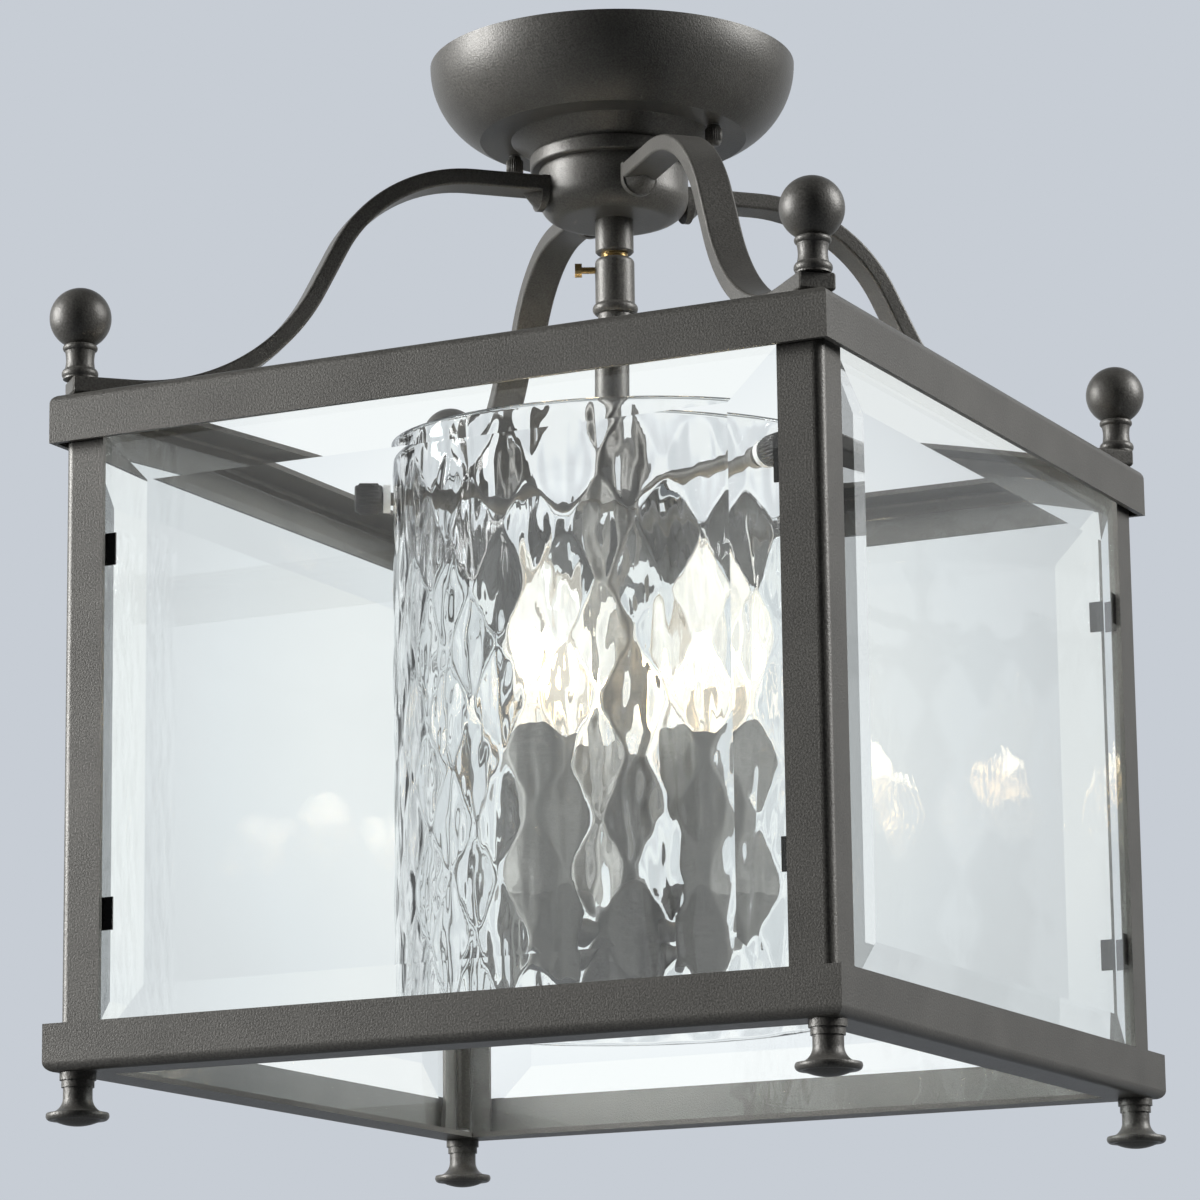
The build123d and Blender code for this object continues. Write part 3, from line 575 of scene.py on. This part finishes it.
def leaf_height(leaves, arc, up, spacing):
    """Relief at a point of the unrolled cylinder: the highest of the leaves that reach it."""
    best = 0.0
    near = int(arc / spacing + 0.5)
    for column in range(near - 2, near + 3):
        stagger = 0.5 * (column % 2)
        row_near = int(up / LEAF_PITCH - stagger + 0.5)
        for row in range(row_near - 1, row_near + 2):
            entry = leaves.get((column % LEAF_COLUMNS, row))
            if entry is None:
                continue
            shift, lift, size, lean, depth = entry
            dz = up - (row + stagger) * LEAF_PITCH - lift
            reach = LEAF_HALF_HEIGHT * size
            if abs(dz) >= reach:
                continue
            dx = arc - column * spacing - shift - lean * dz
            taper = 1 - (dz / reach) ** 2
            half = spacing * LEAF_WIDTH_SHARE * size * taper
            ridge = sqrt(dx * dx + LEAF_RIB_ROUND ** 2)
            if ridge < half:
                share = ridge / half
                best = max(best, depth * taper * (1 - share) * (1 + LEAF_ROUND * share))
    return best


def hammered_wall(radius, low, high, leaves=None):
    """One wall of the cylinder as rows of points, bottom to top: the outer one has leaves and waves, the
    inner one waves alone. Both are plain at the rims."""
    spacing = tau * radius / LEAF_COLUMNS
    points = []
    for level in range(GLASS_STEPS_HIGH + 1):
        z = low + (high - low) * level / GLASS_STEPS_HIGH
        fade = min(1.0, (high - z) / GLASS_PLAIN_RIM, (z - low) / GLASS_PLAIN_RIM)
        for step in range(GLASS_STEPS_ROUND):
            angle = tau * step / GLASS_STEPS_ROUND
            spot = Vector((cos(angle), sin(angle), 0)) * radius + Vector((0, 0, z))
            spot.z *= GLASS_WAVE_SQUEEZE
            wave = sum(noise.noise(spot * scale) * height for scale, height in GLASS_WAVES)
            if leaves:
                leaf = leaf_height(leaves, angle * radius, z - low, spacing)
                relief = LEAF_DEPTH * (leaf - LEAF_MEAN_HEIGHT)
                r = radius - LEAF_DEPTH + fade * (relief + wave)
            else:
                r = radius + fade * wave * GLASS_INNER_WAVE
            points.append((r * cos(angle), r * sin(angle), z))
    return points


def drill_rod_holes(piece, radius):
    """Cut the holes that the holder's three rods pass through."""
    near, far = radius - 3 * GLASS_WALL, radius + GLASS_WALL
    profile = [(0, near), (ROD_HOLE, near), (ROD_HOLE, far), (0, far)]
    drills = []
    for number in (1, 2, 3):
        joint = joints[f"glass_nut_{number}_turn"]
        axis = Vector(joint["axis"]).normalized()
        place = along(axis, (0, 0, joint["pos_m"][2]))
        drills.append(turned(profile, ROD_HOLE_STEPS, None, place))
    points, faces = merged(drills)
    cutter = new_piece("rod_holes", points, faces, piece.data.materials[0], smooth=False)
    cut = piece.modifiers.new("rod_holes", "BOOLEAN")
    cut.operation = "DIFFERENCE"
    cut.object = cutter
    cut.solver = "EXACT"
    drilled = piece.evaluated_get(bpy.context.evaluated_depsgraph_get())
    cut_mesh = bpy.data.meshes.new_from_object(drilled)
    piece.modifiers.clear()
    whole = piece.data
    piece.data = cut_mesh
    bpy.data.meshes.remove(whole)
    bpy.data.objects.remove(cutter)


def make_hammered_glass(materials):
    """Open cylinder of hammered glass: two walls, joined at both rims."""
    low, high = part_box("glass_cylinder")
    radius = (high.x - low.x) / 2
    outer = hammered_wall(radius, low.z, high.z, leaf_table(high.z - low.z))
    inner = hammered_wall(radius - GLASS_WALL, low.z, high.z)
    steps, levels = GLASS_STEPS_ROUND, GLASS_STEPS_HIGH
    start = len(outer)
    faces = []
    for level in range(levels):
        for step in range(steps):
            after = (step + 1) % steps
            a, b = level * steps + step, level * steps + after
            faces.append((a, b, b + steps, a + steps))
            faces.append((start + a + steps, start + b + steps, start + b, start + a))
    top = levels * steps
    for step in range(steps):
        after = (step + 1) % steps
        faces.append((start + step, start + after, after, step))
        faces.append((top + step, top + after, start + top + after, start + top + step))
    piece = new_piece("hammered_glass_cylinder", outer + inner, faces, materials["hammered_glass"])
    drill_rod_holes(piece, radius)
    mount_piece(piece, "light_unit", "hammered_glass", "glass_cylinder")


def bulb_profile(neck, tip, neck_radius, belly_radius):
    """Candle bulb outline from its neck up to its tip, both ends closed on the axis."""
    points = [(0, neck)]
    for i in range(BULB_STEPS):
        t = i / BULB_STEPS
        if t < BULB_BELLY:
            swell = sin(pi / 2 * t / BULB_BELLY) ** BULB_SWELL
            radius = neck_radius + (belly_radius - neck_radius) * swell
        else:
            radius = belly_radius * cos(pi / 2 * (t - BULB_BELLY) / (1 - BULB_BELLY)) ** BULB_TAPER
        points.append((radius, neck + (tip - neck) * t))
    return points + [(0, tip)]


def make_bulb(number, materials):
    """Thin glass shell with its filament."""
    low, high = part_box(f"bulb_glass_{number}")
    centre = (low + high) / 2
    place = Matrix.Translation((centre.x, centre.y, 0))
    radius = (high.x - low.x) / 2
    neck_radius = radius * BULB_NECK_SHARE
    outer = bulb_profile(low.z, high.z, neck_radius, radius)
    inner = bulb_profile(low.z + BULB_WALL, high.z - BULB_WALL, neck_radius - BULB_WALL, radius - BULB_WALL)
    shell = turned_piece(f"bulb_envelope_{number}", [outer, inner[::-1]], BULB_STEPS_ROUND,
                         materials["bulb_glass"], None, place)
    mount_piece(shell, f"bulb_{number}", "bulb_glass", f"bulb_glass_{number}")
    make_filament(number, centre, low.z, materials)


def make_filament(number, centre, neck, materials):
    """Cage of hairpin filaments on a glass stem with two lead wires."""
    body = f"bulb_{number}"
    foot, head = neck + FILAMENT_FOOT, neck + FILAMENT_HEAD
    points = []
    for i in range(2 * FILAMENT_LOOPS):
        angle = tau * i / (2 * FILAMENT_LOOPS)
        x, y = centre.x + FILAMENT_RING * cos(angle), centre.y + FILAMENT_RING * sin(angle)
        ends = (foot, head) if i % 2 else (head, foot)
        points += [(x, y, z) for z in ends]
    filament = wire(f"filament_{number}", points, FILAMENT_WIRE, materials["filament"])
    mount_piece(filament, body, "bulb_glass")
    stem = [(radius, neck + height) for radius, height in STEM]
    stem += [(STEM_HEAD_RADIUS, foot), (0, foot + STEM_HEAD_HEIGHT)]
    place = Matrix.Translation((centre.x, centre.y, 0))
    mount = turned_piece(f"bulb_stem_{number}", [stem], STEM_STEPS, materials["bulb_glass"], None, place)
    mount_piece(mount, body, "bulb_glass")
    for letter, side in (("a", -1), ("b", 1)):
        lead = [(centre.x + side * away, centre.y, neck + height) for away, height in LEAD]
        lead.append((centre.x + side * FILAMENT_RING, centre.y, foot))
        piece = wire(f"bulb_lead_{number}_{letter}", lead, LEAD_WIRE, materials["zinc_steel"])
        mount_piece(piece, body, "zinc_steel")


def dress_nodes(materials):
    """Give every CAD node the finish of its slot."""
    for entry in frame["record"]["subparts"]:
        mesh = nodes[entry["node"]].data
        mesh.materials.clear()
        mesh.materials.append(materials[entry["material_slot"]])


def make_panel(name, place, power):
    """Soft panel of light that faces the part and isn't seen by the camera or through glass."""
    lamp = bpy.data.lights.new(name, "AREA")
    lamp.shape = "RECTANGLE"
    lamp.size, lamp.size_y = PANEL_SIZE
    lamp.energy = power
    lamp.spread = radians(PANEL_SPREAD)
    light = bpy.data.objects.new(name, lamp)
    bpy.context.scene.collection.objects.link(light)
    light.location = place
    light.rotation_mode = "QUATERNION"
    light.rotation_quaternion = (Vector(PART_CENTRE) - Vector(place)).to_track_quat("-Z", "Y")
    light.visible_camera = False
    light.visible_transmission = False


def make_bulb_lamps():
    """The light that each bulb gives."""
    for number in BULBS:
        low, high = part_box(f"bulb_glass_{number}")
        lamp = bpy.data.lights.new(f"bulb_lamp_{number}", "POINT")
        lamp.energy = BULB_LAMP_POWER
        lamp.color = BULB_LAMP_COLOUR
        lamp.shadow_soft_size = BULB_LAMP_RADIUS
        light = bpy.data.objects.new(f"bulb_lamp_{number}", lamp)
        bpy.context.scene.collection.objects.link(light)
        light.location = (low + high) / 2
        light.parent = frame["bodies"][f"bulb_{number}"]


def tone_by(tree, angle, tones):
    """Colour by an angle in degrees."""
    widest = tones[-1][0]
    scale = add_node(tree, "ShaderNodeMath", operation="DIVIDE")
    scale.inputs[1].default_value = widest
    tree.links.new(angle, scale.inputs[0])
    ramp = add_node(tree, "ShaderNodeValToRGB")
    elements = ramp.color_ramp.elements
    while len(elements) < len(tones):
        elements.new(0.5)
    for element, (at, colour) in zip(elements, tones):
        element.position = at / widest
        element.color = (*colour, 1)
    tree.links.new(scale.outputs["Value"], ramp.inputs["Fac"])
    return ramp.outputs["Color"]


def angle_from(tree, direction, place):
    """Angle in degrees between the looked-at direction and another."""
    dot = add_node(tree, "ShaderNodeVectorMath", operation="DOT_PRODUCT")
    dot.inputs[1].default_value = direction
    tree.links.new(place, dot.inputs[0])
    arc = add_node(tree, "ShaderNodeMath", operation="ARCCOSINE")
    tree.links.new(dot.outputs["Value"], arc.inputs[0])
    turn = add_node(tree, "ShaderNodeMath", operation="DEGREES")
    tree.links.new(arc.outputs["Value"], turn.inputs[0])
    return turn.outputs["Value"]


def mix_colours(tree, first, second, factor=None, kind="MIX"):
    """Mixed or multiplied colour: factor takes it from the first to the second."""
    mix = add_node(tree, "ShaderNodeMix", data_type="RGBA", blend_type=kind)
    mix.inputs["Factor"].default_value = 1.0
    if factor is not None:
        tree.links.new(factor, mix.inputs["Factor"])
    for socket, colour in ((mix.inputs[MIX_FIRST], first), (mix.inputs[MIX_SECOND], second)):
        if isinstance(colour, tuple):
            socket.default_value = (*colour, 1)
        else:
            tree.links.new(colour, socket)
    return mix.outputs[MIX_RESULT]


def seen_ray(tree):
    """The light path, and 1 for the rays that show the backdrop: straight to the camera, mirrored or
    through glass."""
    path = add_node(tree, "ShaderNodeLightPath")
    total = path.outputs["Is Camera Ray"]
    for ray in ("Is Glossy Ray", "Is Transmission Ray"):
        either = add_node(tree, "ShaderNodeMath", operation="MAXIMUM")
        tree.links.new(total, either.inputs[0])
        tree.links.new(path.outputs[ray], either.inputs[1])
        total = either.outputs["Value"]
    return path, total


def make_world():
    """A little soft light from all round, and the backdrop that camera, gloss and glass see."""
    world = bpy.data.worlds.new("studio")
    world.use_nodes = True
    tree = world.node_tree
    ambient = tree.nodes["Background"]
    ambient.inputs["Color"].default_value = (*AMBIENT, 1)
    ambient.inputs["Strength"].default_value = AMBIENT_STRENGTH
    place = add_node(tree, "ShaderNodeTexCoord").outputs["Generated"]
    azimuth, elevation = radians(CAMERA_AZIMUTH), radians(SPOT_ELEVATION)
    spot = (-sin(azimuth) * cos(elevation), cos(azimuth) * cos(elevation), sin(elevation))
    from_spot = angle_from(tree, spot, place)
    ceiling = tone_by(tree, angle_from(tree, (0, 0, 1), place), CEILING_TONES)
    through = mix_colours(tree, tone_by(tree, from_spot, SPOT_TONES), ceiling, kind="MULTIPLY")
    mirrored = mix_colours(tree, tone_by(tree, from_spot, WALL_TONES), ceiling, kind="MULTIPLY")
    path, any_seen = seen_ray(tree)
    shown = mix_colours(tree, BACKDROP, mirrored, path.outputs["Is Glossy Ray"])
    shown = mix_colours(tree, shown, through, path.outputs["Is Transmission Ray"])
    seen = add_node(tree, "ShaderNodeBackground")
    tree.links.new(shown, seen.inputs["Color"])
    mix = add_node(tree, "ShaderNodeMixShader")
    tree.links.new(any_seen, mix.inputs["Fac"])
    tree.links.new(ambient.outputs["Background"], mix.inputs[1])
    tree.links.new(seen.outputs["Background"], mix.inputs[2])
    tree.links.new(mix.outputs["Shader"], tree.nodes["World Output"].inputs["Surface"])
    bpy.context.scene.world = world


def make_floor():
    """Wide floor far below the part, which shows as the backdrop."""
    half = FLOOR_SIZE / 2
    corners = [(x * half, y * half, FLOOR_HEIGHT) for x, y in ((-1, -1), (1, -1), (1, 1), (-1, 1))]
    shader = Shader("floor")
    tone = shader.noise(FLOOR_MOTTLE_SCALE, detail=2.0)
    darker = tuple(c * FLOOR_DARKER_SHARE for c in FLOOR_COLOUR)
    shader.link(shader.ramp(tone, darker, FLOOR_COLOUR), shader.bsdf.inputs["Base Color"])
    shader.set(Roughness=0.9, Emission_Color=(*BACKDROP, 1))
    path, seen = seen_ray(shader.tree)
    level = shader.node("ShaderNodeMapRange")
    level.inputs["To Min"].default_value = FLOOR_GLOW
    level.inputs["To Max"].default_value = FLOOR_MIRRORED
    shader.link(path.outputs["Is Glossy Ray"], level.inputs["Value"])
    glow_tone = shader.node("ShaderNodeMath", operation="MULTIPLY")
    shader.link(seen, glow_tone.inputs[0])
    shader.link(level.outputs["Result"], glow_tone.inputs[1])
    shader.link(glow_tone.outputs["Value"], shader.bsdf.inputs["Emission Strength"])
    floor = new_piece("floor", corners, [(0, 1, 2, 3)], shader.material, smooth=False)


bpy.context.scene.view_settings.view_transform = "Standard"
set_camera()
make_world()
make_floor()
for panel in PANELS:
    make_panel(*panel)
make_bulb_lamps()
finishes = make_materials()
dress_nodes(finishes)
make_nipple(finishes)
make_set_screw_thread(finishes)
make_nuts(finishes)
make_hammered_glass(finishes)
for bulb in BULBS:
    make_bulb(bulb, finishes)
bpy.context.view_layer.update()
